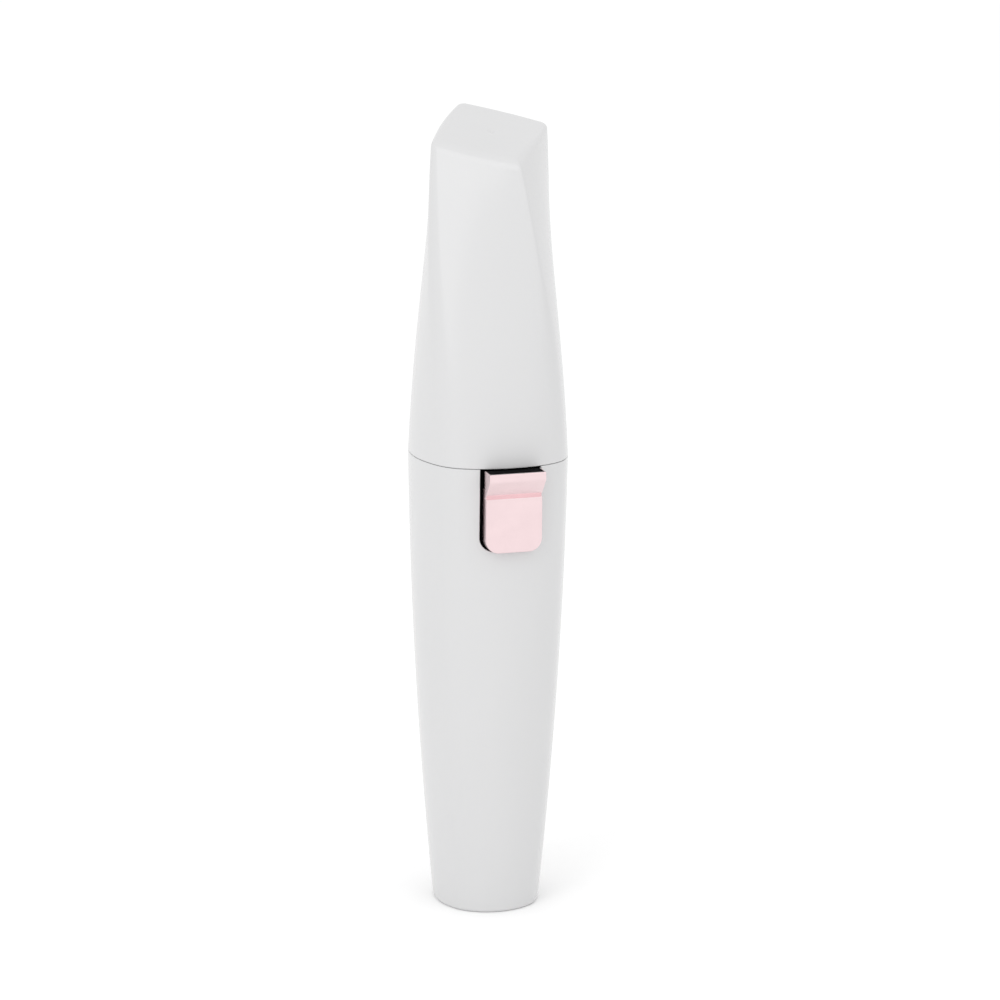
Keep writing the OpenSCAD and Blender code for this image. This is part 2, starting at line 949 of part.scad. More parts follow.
module x_slot(x) {
    difference() {
        x_cylinder(x - disc_t / 2, x + disc_t / 2, core_r + 1, drum_z, $fn = 72);
        x_cylinder(x - 1, x + 1, disc_hole_r, drum_z, $fn = 48);
    }
}

// A thin disc with gripping tabs round its edge.
module disc(x, shift) {
    difference() {
        x_cylinder(x - disc_t / 2, x + disc_t / 2, drum_r, drum_z, $fn = 72);
        x_cylinder(x - 1, x + 1, disc_hole_r, drum_z, $fn = 48);
        for (a = [0:45:315])
            translate([0, 0, drum_z])
                rotate([a + shift, 0, 0])
                    block([x - 1, -0.6, core_r + 0.05], [x + 1, 0.6, core_r + 2]);
    }
}

module fixed_tweezers() {
    color("silver")
        for (i = [0:pairs - 1])
            disc(pair_x(i) - (pair_gap + disc_t) / 2, 22.5 * (i % 2));
}

module moving_tweezers() {
    color("gainsboro")
        for (i = [0:pairs - 1])
            disc(pair_x(i) + (pair_gap + disc_t) / 2, 22.5 * (i % 2));
}

// Slanted ring that closes the tweezers as the drum turns past it.
module press_cam() {
    color("dimgray")
        difference() {
            x_cylinder(-head_inner_x, drum_left - 0.15, 4.6, drum_z);
            x_cylinder(-10, 0, drum_axle_r, drum_z, $fn = 32);
            translate([drum_left - 0.15, 0, drum_z])
                rotate([0, 6, 0]) block([0, -10, -10], [5, 10, 10]);
        }
}

module head_housing() {
    // Height, half sizes and corner radius of the outside, from the collar up.
    outline = [
        [ring_top, 11.5, 12.1, 6.4], [92.5, 11, 11.4, 6.2], [95, 10.3, 10.5, 5.8],
        [100, 9.7, 9.8, 5.5], [108, 9.3, 9.1, 5.2], [115, head_outer_x + 0.3, 6.8, 5],
        [118, head_outer_x, ear_r, 5], [drum_z + 8, head_outer_x, ear_r, 5]
    ];
    bay_half = ear_r - head_wall;
    color("white")
        difference() {
            loft([for (p = outline) head_ring(p[0], p[1], p[2], p[3])]);
            loft(concat(
                [head_inside(outline[0] - [1, 0, 0, 0])],
                [for (i = [1:5]) head_inside(outline[i])],
                [head_ring(drum_z - ear_r - 0.3, head_inner_x, bay_half, 3.5)]
            ));
            // Gear bay and drum bay.
            block([-head_inner_x, -bay_half, idler_z - 3], [head_inner_x, bay_half, drum_z]);
            x_cylinder(-head_inner_x, head_inner_x, bay_half + 0.2, drum_z, $fn = 72);
            block([drum_left - 0.2, -far, window_z], [drum_right + 0.05, far, drum_z + far]);
            // Ears rounded about the drum's axis.
            difference() {
                block([-far, -far, drum_z], [far, far, drum_z + far]);
                x_cylinder(-far - 1, far + 1, ear_r, drum_z, $fn = 96);
            }
        }
}

function head_ring(z, hx, hy, r) = [for (p = section(hx, hy, r, head_arc)) [p[0], p[1], z]];

function head_inside(p) = head_ring(p[0], p[1] - head_wall, p[2] - head_wall, p[3] - head_wall);

handle_shell();
neck();
collar_ring();
cap_seal();
cap();
switch_bed();
switch_seal();
switch_carrier();
switch_trim();
slide_switch();
switch_actuator();
main_board();
board_components();
board_screws();
charge_board();
usb_shell();
usb_tongue();
chassis();
battery_cell();
battery_terminal();
contact_positive();
contact_negative();
battery_wires();
motor_wires();
motor_can();
motor_magnets();
motor_end_bell();
motor_brushes();
motor_terminals();
motor_bushes();
rotor_shaft();
rotor_core();
commutator();
motor_pinion();
gear_frame();
gear_cover();
cover_screws();
crown_gear();
crown_axle();
idler_gear();
idler_axle();
drum_gear();
drum_axle();
drum_bushes();
drum_core();
fixed_tweezers();
moving_tweezers();
press_cam();
head_housing();
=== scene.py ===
import math

import bmesh
import bpy
import numpy as np
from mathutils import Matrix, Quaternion, Vector


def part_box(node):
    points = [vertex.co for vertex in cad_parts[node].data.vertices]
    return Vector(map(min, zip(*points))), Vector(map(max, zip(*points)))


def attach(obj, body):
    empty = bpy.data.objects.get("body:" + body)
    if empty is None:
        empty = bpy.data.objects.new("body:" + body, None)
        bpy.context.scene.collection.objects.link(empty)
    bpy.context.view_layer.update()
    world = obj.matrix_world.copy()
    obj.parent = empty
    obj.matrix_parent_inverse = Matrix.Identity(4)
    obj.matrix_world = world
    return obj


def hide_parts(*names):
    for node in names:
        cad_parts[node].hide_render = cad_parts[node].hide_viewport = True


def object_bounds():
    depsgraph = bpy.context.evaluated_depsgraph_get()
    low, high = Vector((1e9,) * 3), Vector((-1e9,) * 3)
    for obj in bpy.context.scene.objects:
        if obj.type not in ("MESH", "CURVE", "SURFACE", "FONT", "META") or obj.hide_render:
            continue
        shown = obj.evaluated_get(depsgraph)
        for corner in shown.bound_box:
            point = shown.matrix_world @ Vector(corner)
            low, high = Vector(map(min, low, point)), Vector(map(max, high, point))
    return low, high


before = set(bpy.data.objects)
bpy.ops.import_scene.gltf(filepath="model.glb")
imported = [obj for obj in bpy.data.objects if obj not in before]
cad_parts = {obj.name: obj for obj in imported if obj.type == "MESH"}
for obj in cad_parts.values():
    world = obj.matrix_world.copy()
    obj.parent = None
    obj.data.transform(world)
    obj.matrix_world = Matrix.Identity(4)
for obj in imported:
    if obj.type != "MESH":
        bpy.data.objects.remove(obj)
cad_low, cad_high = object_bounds()

# Shapes are worked out in millimetres, and MM turns them into Blender's metres.
MM = 0.001


def box_mm(node):
    """Lowest and highest corner of a CAD node, in millimetres."""
    low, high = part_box(node)
    return np.array(low) / MM, np.array(high) / MM


SHELL_HIGH = box_mm("handle_shell")[1]
CAP_LOW = box_mm("cap")[0]
TRIM_LOW, TRIM_HIGH = box_mm("switch_trim")

# Handle: half sizes, corner radii and side arcs at the base and at the parting line.
RIM_Z = SHELL_HIGH[2]
SEAM_Z = (SHELL_HIGH[2] + CAP_LOW[2]) / 2
SEAM_HALF = (SHELL_HIGH[0], SHELL_HIGH[1])
BASE_HALF = (9.5, 10.2)
BASE_CORNER, SEAM_CORNER, TOP_CORNER = 6.1, 8.05, 1.65
BASE_ARC, SEAM_ARC, TOP_ARC = 35, 27.3, 4.3
BELLY = 0.8
WALL = 1.5
FLOOR = 2
BASE_EDGE = 0.5
RIM_EDGE = 0.15

# Cap.
CAP_RISE = 57.76
CAP_WALL = 1.4
TOP_HALF = 8.65
BACK_EDGE, FRONT_EDGE = 0.6, 1.5
TOP_SLOPE = math.tan(math.radians(18))
SAG, SAG_START = 0.012, 1.5
CAP_EASE, CAP_SKEW = -0.496, -0.072
TURN, TURN_EASE = -35, -0.306
FRONT_ANGLE = math.radians(235)
FRONT_FACING = np.array([math.cos(FRONT_ANGLE), math.sin(FRONT_ANGLE)])
GATE_R, GATE_DEPTH, GATE_FORWARD = 0.85, 0.2, 0.6
# How sharp the crease between the front and right facets gets towards the top.
CREASE = 6

# Switch recess and charging port.
SLOT_HALF, SLOT_LENGTH, SLOT_CORNER = 5.6, 15.05, 2.6
# Round the recess, the mesh leaves its grid and follows loops at these distances.
WINDOW_MARGIN = 2.4
LOOP_REACHES = (1.4, 0.8, 0.45, 0.25, RIM_EDGE)
# Across this stretch of X the wall's direction turns from along Y to square.
TURN_START, TURN_LENGTH = 6.5, 2.5
TRIM_EDGE, TOP_TRIM_EDGE = 0.13, 0.12
PORT_HALF_W, PORT_HALF_D, PORT_Y, PORT_EDGE = 4.67, 1.78, 3.4, 0.2

# A narrow row beside each rounding keeps the shading flat; and rows up the handle.
EDGE_STEP = 0.15
BODY_ROWS, SLOT_ROWS = 62, 22

# How finely the section is divided.
SIDE_N, CORNER_N = 28, 16


def mix(a, b, t):
    return a + (b - a) * t


def smooth_step(t):
    t = min(max(t, 0), 1)
    return t * t * (3 - 2 * t)


# ---- The section: a square with bowed sides and rounded corners ----


def side_arc(half, other, corner, angle):
    """Centre distance and radius, less the corner's, of the arc that forms a side."""
    s, c = math.sin(angle), math.cos(angle)
    radius = (s * (other - corner) - (1 - c) * (half - corner)) / (2 * c * (1 - c))
    return half - radius - corner, radius


def quarter(half, other, corner, angle):
    """Points and outward directions along one side and the corner after it, facing +X."""
    centre, radius = side_arc(half, other, corner, angle)
    side = np.linspace(-angle, angle, SIDE_N, endpoint=False)
    bend = np.linspace(angle, math.pi / 2 - angle, CORNER_N, endpoint=False)
    out = np.array([(math.cos(t), math.sin(t)) for t in (*side, *bend)])
    hub = np.zeros_like(out)
    hub[:, 0] = centre
    hub[SIDE_N:] += radius * out[SIDE_N]
    reach = np.full((len(out), 1), radius + corner)
    reach[SIDE_N:] = corner
    return hub + reach * out, out


def turned(points, degrees):
    a = math.radians(degrees)
    return points @ np.array([[math.cos(a), math.sin(a)], [-math.sin(a), math.cos(a)]])


def sharpened(points, out, corner, angle, crease):
    """One side and its corner, with the corner drawn out towards where its tangents meet."""
    start, hub = points[SIDE_N], points[SIDE_N] - corner * out[SIDE_N]
    half_turn = math.pi / 4 - angle
    diagonal = np.array([math.cos(math.pi / 4), math.sin(math.pi / 4)])
    tip = hub + corner / math.cos(half_turn) * diagonal
    end = hub + corner * out[SIDE_N][::-1]
    t = np.linspace(0, 1, CORNER_N, endpoint=False)[:, None]
    pull = 2 * t * (1 - t) * (math.cos(half_turn) + crease)
    bend = ((1 - t) ** 2 * start + pull * tip + t**2 * end) / ((1 - t) ** 2 + pull + t**2)
    return np.vstack([points[:SIDE_N], bend])


def section(half_x, half_y, corner, arc_degrees, crease=0.0):
    """The whole outline, from the left end of the front side, counter-clockwise. A crease
    above 0 sharpens the corner after the front side."""
    angle = math.radians(arc_degrees)
    parts = []
    for degrees in (270, 0, 90, 180):
        half, other = (half_x, half_y) if degrees % 180 == 0 else (half_y, half_x)
        points, out = quarter(half, other, corner, angle)
        if crease > 0 and degrees == 270:
            points = sharpened(points, out, corner, angle, crease)
        parts.append((turned(points, degrees), turned(out, degrees)))
    return np.vstack([p for p, _ in parts]), np.vstack([o for _, o in parts])


def handle_sizes(z, inset=0.0):
    u = z / SEAM_Z
    f = u + BELLY * u * (1 - u)
    return (
        mix(BASE_HALF[0], SEAM_HALF[0], f) - inset,
        mix(BASE_HALF[1], SEAM_HALF[1], f) - inset,
        mix(BASE_CORNER, SEAM_CORNER, u) - inset,
        mix(BASE_ARC, SEAM_ARC, u),
    )


def at_height(points, z):
    return np.column_stack([points, np.full(len(points), z)])


def handle_ring(z, inset=0.0):
    return at_height(section(*handle_sizes(z, inset))[0], z)


def front_point(x, z):
    """The point of the handle's front surface at x and z."""
    half_x, half_y, corner, arc_degrees = handle_sizes(z)
    angle = math.radians(arc_degrees)
    centre, radius = side_arc(half_y, half_x, corner, angle)
    if abs(x) <= (radius + corner) * math.sin(angle):
        depth = centre + math.sqrt((radius + corner) ** 2 - x * x)
    else:
        across = abs(x) - radius * math.sin(angle)
        depth = centre + radius * math.cos(angle) + math.sqrt(corner**2 - across**2)
    return np.array([x, -depth, z])


def cap_ring(u, inset=0.0):
    """Ring of the cap's surface at share u of its height. Rings tilt towards the top face."""
    f = u + CAP_EASE * u * (1 - u) + CAP_SKEW * u * (1 - u) * (1 - 2 * u)
    points = section(
        mix(SEAM_HALF[0], TOP_HALF, f) - inset,
        mix(SEAM_HALF[1], TOP_HALF, f) - inset,
        mix(SEAM_CORNER, TOP_CORNER, u) - inset,
        mix(SEAM_ARC, TOP_ARC, u),
        mix(0, CREASE, smooth_step((u - 0.35) / 0.65)),
    )[0]
    points = turned(points, TURN * (u + TURN_EASE * u * (1 - u)))
    z = SEAM_Z + CAP_RISE * u + TOP_SLOPE * u * points[:, 1]
    ahead = points @ FRONT_FACING - SAG_START
    z -= SAG * np.maximum(ahead, 0) ** 2 * smooth_step((u - 0.88) / 0.12)
    return np.column_stack([points, z])


# ---- Making meshes ----


class Weaver:
    """Gathers the points, in millimetres, and the faces of one mesh."""

    def __init__(self):
        self.points = []
        self.faces = []

    def add(self, point):
        self.points.append(tuple(float(x) for x in point))
        return len(self.points) - 1

    def row(self, points):
        return [self.add(p) for p in points]

    def strip(self, first, second, closed=True):
        """Quads between two rows; they face outwards if second follows first upwards."""
        count = len(first) if closed else len(first) - 1
        for i in range(count):
            j = (i + 1) % len(first)
            self.faces.append((first[i], first[j], second[j], second[i]))

    def strips(self, rows, closed=True):
        for first, second in zip(rows, rows[1:]):
            self.strip(first, second, closed)

    def piece(self, name, body, material, slot, replaced=()):
        mesh = bpy.data.meshes.new(name)
        mesh.from_pydata([Vector(p) * MM for p in self.points], [], self.faces)
        mesh.validate()
        mesh.shade_smooth()
        mesh.materials.append(material)
        made = bpy.data.objects.new(name, mesh)
        bpy.context.scene.collection.objects.link(made)
        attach(made, body)
        if replaced:
            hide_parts(*replaced)
        return made


def stadium(ring, half_w, half_d, centre_y):
    """For each point of a ring, the point of a stadium's edge in the same direction."""
    r, reach = half_d, half_w - half_d
    found = []
    for x, y, _ in ring:
        a = math.atan2(y - centre_y, x)
        c, s = math.cos(a), math.sin(a)
        if abs(c) * r <= abs(s) * reach:
            p = (r * c / abs(s), math.copysign(r, s))
        else:
            t = reach * abs(c) + math.sqrt(r * r - (reach * s) ** 2)
            p = (t * c, t * s)
        found.append((p[0], p[1] + centre_y))
    return np.array(found)


QUARTER_TURN = np.radians(np.linspace(0, 90, 5))


# ---- Handle shell ----


def slot_path(rows_z, row_bottom, corner_rows, left, right):
    """Grid place, slot edge point and direction out of the slot, down the left side of
    the recess, along its bottom and up the right side. Grid places are (column, row)."""
    top = len(rows_z) - 1
    corner_z = SEAM_Z - SLOT_LENGTH + SLOT_CORNER
    inner = SLOT_HALF - SLOT_CORNER
    half = []
    for row in range(top, row_bottom + corner_rows - 1, -1):
        half.append(((left, row), (-SLOT_HALF, rows_z[row]), (-1.0, 0.0)))
    for step in range(1, 2 * corner_rows + 1):
        a = math.pi / 4 * step / corner_rows
        out = (-math.cos(a), -math.sin(a))
        row = max(row_bottom + corner_rows - step, row_bottom)
        column = left + max(step - corner_rows, 0)
        edge = (-inner + SLOT_CORNER * out[0], corner_z + SLOT_CORNER * out[1])
        half.append(((column, row), edge, out))
    path = list(half)
    for column in range(left + corner_rows + 1, right - corner_rows):
        t = (column - left - corner_rows) / (right - left - 2 * corner_rows)
        edge = (mix(-inner, inner, t), SEAM_Z - SLOT_LENGTH)
        path.append(((column, row_bottom), edge, (0.0, -1.0)))
    for (column, row), edge, out in reversed(half):
        path.append(((left + right - column, row), (-edge[0], edge[1]), (-out[0], out[1])))
    return path


def inward(point, out):
    """Direction through the wall: along Y next to the recess, else square to the wall."""
    square = np.array([-out[0], -out[1], 0])
    if point[1] > 0:
        return square
    t = smooth_step((abs(point[0]) - TURN_START) / TURN_LENGTH)
    way = mix(np.array([0.0, 1.0, 0.0]), square, t)
    return way / np.linalg.norm(way)


def build_handle(material):
    w = Weaver()
    rim_start = RIM_Z - RIM_EDGE
    corner_z = SEAM_Z - SLOT_LENGTH + SLOT_CORNER
    window_low = SEAM_Z - SLOT_LENGTH - WINDOW_MARGIN
    corner_rows = 8
    rows_z = [BASE_EDGE, BASE_EDGE + EDGE_STEP, 0.6 * FLOOR, FLOOR]
    rows_z += list(np.linspace(FLOOR, window_low, BODY_ROWS))[1:]
    row_bottom = len(rows_z) - 1
    rows_z += list(np.linspace(window_low, corner_z, corner_rows + 1))[1:]
    rows_z += list(np.linspace(corner_z, rim_start - EDGE_STEP, SLOT_ROWS))[1:] + [rim_start]
    top = len(rows_z) - 1
    left, right = 1, SIDE_N - 1

    def open_place(column, row):
        return left < column < right and row > row_bottom

    # The sheet's points, each with its direction through the wall.
    outer, ways, grid = [], [], {}
    for row, z in enumerate(rows_z):
        points, out = section(*handle_sizes(z))
        for column, (p, n) in enumerate(zip(points, out)):
            if not open_place(column, row):
                grid[column, row] = w.add((p[0], p[1], z))
                outer.append(np.array([p[0], p[1], z]))
                ways.append(inward(p, n))
    columns = len(points)
    faces = []
    for row in range(top):
        for column in range(columns):
            beside = (column + 1) % columns
            if left <= column < right and row >= row_bottom:
                continue
            faces.append((grid[column, row], grid[beside, row],
                          grid[beside, row + 1], grid[column, row + 1]))

    # Loops that lead from the grid to the edge of the recess.
    path = slot_path(rows_z, row_bottom, corner_rows, left, right)
    loops = [[grid[place] for place, _, _ in path]]
    for d in LOOP_REACHES:
        loop = []
        for _, edge, out in path:
            p = front_point(edge[0] + d * out[0], edge[1] + d * out[1])
            loop.append(w.add(p))
            outer.append(p)
            ways.append(inward(p, (0, -1)))
        loops.append(loop)
    for first, second in zip(loops, loops[1:]):
        for i in range(len(path) - 1):
            faces.append((first[i], first[i + 1], second[i + 1], second[i]))
    w.faces += faces

    # The sheet's edge: down and round the recess, then back along the rim.
    around = [(loops[-1][i], None, (-out[0], -out[1])) for i, (_, _, out) in enumerate(path)]
    around[0] = (loops[-1][0], None, (1.0, 1.0))
    around[-1] = (loops[-1][-1], None, (-1.0, 1.0))
    around += [(loop[-1], None, (0.0, 1.0)) for loop in loops[-2:0:-1]]
    around += [(grid[k % columns, top], k % columns, (0.0, 1.0))
               for k in range(right, columns + left + 1)]
    around += [(loop[0], None, (0.0, 1.0)) for loop in loops[1:-1]]

    def edge_row(angle, depth):
        """The edge moved out over its rounding by an angle, at a depth into the wall."""
        ring = section(*handle_sizes(rim_start + RIM_EDGE * math.sin(angle)))[0]
        row = []
        for index, column, way_out in around:
            z = outer[index][2] + way_out[1] * RIM_EDGE * math.sin(angle)
            x = outer[index][0] + way_out[0] * RIM_EDGE * math.sin(angle)
            p = front_point(x, z) if column is None else np.array([*ring[column], z])
            row.append(w.add(p + ways[index] * depth))
        return row

    rows = [[index for index, _, _ in around]]
    rows += [edge_row(a, RIM_EDGE * (1 - math.cos(a))) for a in QUARTER_TURN[1:]]
    rows += [edge_row(a, WALL - RIM_EDGE * (1 - math.cos(a))) for a in QUARTER_TURN[:0:-1]]

    # The inner sheet, above the floor.
    floor_row = rows_z.index(FLOOR)
    inner = {}
    for index, (p, way) in enumerate(zip(outer, ways)):
        if p[2] >= FLOOR:
            inner[index] = w.add(p + way * WALL)
    w.faces += [tuple(inner[i] for i in reversed(face)) for face in faces
                if all(i in inner for i in face)]
    rows.append([inner[index] for index, _, _ in around])
    w.strips(rows)

    # The base, and the port's opening through the floor.
    def base_ring(inset, z):
        return handle_ring(z, inset)

    def port_ring(grow, z):
        return at_height(stadium(base_ring(BASE_EDGE, 0), PORT_HALF_W + grow,
                                 PORT_HALF_D + grow, PORT_Y), z)

    below = [[grid[k, 0] for k in range(columns)]]
    below += [w.row(base_ring(BASE_EDGE * (1 - math.cos(a)), BASE_EDGE * (1 - math.sin(a))))
              for a in QUARTER_TURN[1:]]
    below += [w.row(base_ring(BASE_EDGE + EDGE_STEP, 0)),
              w.row(port_ring(PORT_EDGE + EDGE_STEP, 0))]
    below += [w.row(port_ring(PORT_EDGE * (1 - math.sin(a)), PORT_EDGE * (1 - math.cos(a))))
              for a in QUARTER_TURN]
    below += [w.row(port_ring(0, FLOOR))]
    below += [[inner[grid[k, floor_row]] for k in range(columns)]]
    w.strips(below[::-1])
    return w.piece("shell_of_handle", "handle", material, "white_shell", ["handle_shell"])


# ---- Cap ----


def top_height(point):
    """Height of the cap's top face at x and y."""
    ahead = max(FRONT_FACING[0] * point[0] + FRONT_FACING[1] * point[1] - SAG_START, 0)
    return SEAM_Z + CAP_RISE + TOP_SLOPE * point[1] - SAG * ahead**2


def edge_radii(outline):
    """Rounding of the top face's edge at each point: soft in front, tight elsewhere."""
    ahead = outline[:, :2] @ FRONT_FACING / TOP_HALF
    share = np.clip((ahead + 0.5) / 1.5, 0, 1)
    return BACK_EDGE + (FRONT_EDGE - BACK_EDGE) * share * share * (3 - 2 * share)


def rolled_ring(radii, angle):
    """Ring on the rounding between side and top face, at an angle over it."""
    ring = []
    for index, r in enumerate(radii):
        u = 1 - r * (1 - math.sin(angle)) / CAP_RISE
        ring.append(cap_ring(u, r * (1 - math.cos(angle)))[index])
    return np.array(ring)


def build_cap(material):
    w = Weaver()
    rows = 72
    low = (CAP_LOW[2] - SEAM_Z) / CAP_RISE
    edge_u = RIM_EDGE / CAP_RISE
    ceiling = 1 - CAP_WALL / CAP_RISE
    radii = edge_radii(cap_ring(1))

    def rim_row(angle, inset):
        return w.row(cap_ring(low + edge_u * (1 - math.cos(angle)), inset))

    rim = [rim_row(a, CAP_WALL - RIM_EDGE * (1 - math.sin(a))) for a in QUARTER_TURN[::-1]]
    rim += [rim_row(a, RIM_EDGE * (1 - math.sin(a))) for a in QUARTER_TURN]
    below_edge = 1 - (FRONT_EDGE + 0.5) / CAP_RISE
    outside = [w.row(cap_ring(u)) for u in
               (low + 2 * edge_u, *np.linspace(low + 4 * edge_u, below_edge, rows))]
    started = rolled_ring(radii, 0)
    outside.append(w.row(mix(cap_ring(below_edge), started, 0.5)))
    fillet = [w.row(rolled_ring(radii, a)) for a in np.radians(np.linspace(0, 90, 13))]

    # The top face, with the gate mark near its middle.
    outline = rolled_ring(radii, math.pi / 2)
    middle = outline.mean(axis=0)
    middle[1] -= GATE_FORWARD
    angles = np.arctan2(outline[:, 1] - middle[1], outline[:, 0] - middle[0])

    def gate_ring(r, depth):
        x, y = middle[0] + r * np.cos(angles), middle[1] + r * np.sin(angles)
        return np.array([(*p, top_height(p) - depth) for p in zip(x, y)])

    def face_ring(t):
        ring = mix(outline, gate_ring(GATE_R * 1.25, 0), t)
        for point in ring:
            point[2] = top_height(point)
        return ring

    face = [w.row(face_ring(t)) for t in (0.06, 0.2, 0.35, 0.5, 0.7, 0.85, 1)]
    face += [w.row(gate_ring(GATE_R * r, GATE_DEPTH * (1 - r * r) ** 2))
             for r in (1, 0.85, 0.7, 0.55, 0.4, 0.2)]
    w.faces.append(tuple(face[-1]))

    inside = [w.row(cap_ring(u, CAP_WALL)) for u in
              np.linspace(ceiling, low + 2 * edge_u, rows)]
    w.faces.append(tuple(inside[0][::-1]))
    w.strips(inside + rim + outside + fillet + face)
    return w.piece("cap_shell", "cap", material, "white_shell", ["cap"])


# ---- Switch ----


def bent(before, corner, after, reach, steps=5):
    """Points of a rounded corner that starts and ends at a reach from it."""
    before, corner, after = (np.array(p, dtype=float) for p in (before, corner, after))
    start = corner + (before - corner) / np.linalg.norm(before - corner) * reach
    end = corner + (after - corner) / np.linalg.norm(after - corner) * reach
    return [tuple((1 - t) ** 2 * start + 2 * t * (1 - t) * corner + t**2 * end)
            for t in np.linspace(0, 1, steps)]


def build_trim(material):
    """The plated thumb plate with its ridge. Its front is flat across; its sides and
    lower corners follow a U, and their edges are rounded. It is a skin over the carrier,
    closed by a cheek on each side."""
    half, corner = TRIM_HIGH[0], 2.4
    back, tip = TRIM_HIGH[1], TRIM_LOW[1]
    plate = -16.4
    corner_z = TRIM_LOW[2] - SEAM_Z + corner
    lip_top = TRIM_HIGH[2] - SEAM_Z
    core_y, core_z = -18.1, -1.345
    shelf_y, shelf_z = -16.665, -3.4
    root_z, lip_z = -4.65, -1.5
    groove, groove_low, groove_high = plate + 0.4, root_z - 0.36, root_z - 0.08
    cheek, cheek_back = half - 0.18, -15.3

    # The front's outline in (y, height from the parting line), from the top down.
    front = bent((core_y, lip_top), (tip, lip_top), (tip, lip_z), TOP_TRIM_EDGE)
    front += bent((tip, lip_top), (tip, lip_z), (groove, groove_high), TRIM_EDGE)
    step_row = len(front)
    for z in (shelf_z + 0.15, shelf_z):
        front.append((mix(tip, groove, (z - lip_z) / (groove_high - lip_z)), z))
    front.append((groove, groove_high))
    front += bent((groove, groove_low), (plate, groove_low), (plate, corner_z), 0.06, 3)

    # Levels from the back to the front: (distance behind the front, distance inwards).
    levels = [(TRIM_EDGE * (1 - math.sin(a)), TRIM_EDGE * (1 - math.cos(a)))
              for a in QUARTER_TURN]
    arc = np.radians(np.linspace(0, 90, 17))

    def u_path(behind, inwards):
        """Down the right side, round to the left and up, at a level."""
        side = []
        for row, (y, z) in enumerate(front):
            rear_y = cheek_back if row <= step_row else back
            side.append((half - inwards, rear_y if behind is None else y + behind, z))
        depth = back if behind is None else plate + behind
        for a in arc:
            side.append((half - corner + (corner - inwards) * math.cos(a), depth,
                         corner_z - (corner - inwards) * math.sin(a)))
        return [(x, y, SEAM_Z + z) for x, y, z in side + [(-x, y, z) for x, y, z in side[::-1]]]

    w = Weaver()
    paths = [w.row(u_path(None, 0))] + [w.row(u_path(*level)) for level in levels]
    w.strips(paths, closed=False)
    face = paths[-1]
    last = len(face) - 1
    for i in range(len(face) // 2 - 1):
        w.faces.append((face[i], face[i + 1], face[last - i - 1], face[last - i]))

    # Back, cheeks and the pocket for the carrier.
    pocket = [(cheek_back, lip_top), (core_y, lip_top), (core_y, core_z), (shelf_y, shelf_z),
              (back, shelf_z), (cheek_back, shelf_z + 0.15)]
    right = w.row((cheek, y, SEAM_Z + z) for y, z in pocket)
    left = w.row((-cheek, y, SEAM_Z + z) for y, z in pocket)
    rear = paths[0]
    w.faces.append((*rear[step_row + 1:last - step_row], left[4], right[4]))
    cheeks = ((right, rear[:step_row + 2]), (left, rear[last - step_row - 1:][::-1]))
    for side, edge in cheeks:
        w.faces.append((*edge[:-1], side[5], side[0]))
        w.faces.append((edge[-2], edge[-1], side[4], side[5]))
    w.faces.append(tuple(right))
    w.faces.append(tuple(left[::-1]))
    for i in range(1, 4):
        w.faces.append((right[i], left[i], left[i + 1], right[i + 1]))
    rim = [path[0] for path in paths] + [path[last] for path in paths[::-1]]
    w.faces.append((*rim, left[0], left[1], right[1], right[0]))

    piece = w.piece("thumb_plate", "slider", material, "rose_gold", ["switch_trim"])
    mesh = piece.data
    tidy = bmesh.new()
    tidy.from_mesh(mesh)
    bmesh.ops.recalc_face_normals(tidy, faces=tidy.faces)
    tidy.to_mesh(mesh)
    tidy.free()
    mesh.set_sharp_from_angle(angle=math.radians(32))
    flat = piece.modifiers.new("flat_faces", "WEIGHTED_NORMAL")
    flat.keep_sharp = True
    flat.weight = 100
    return piece


# ---- Materials ----


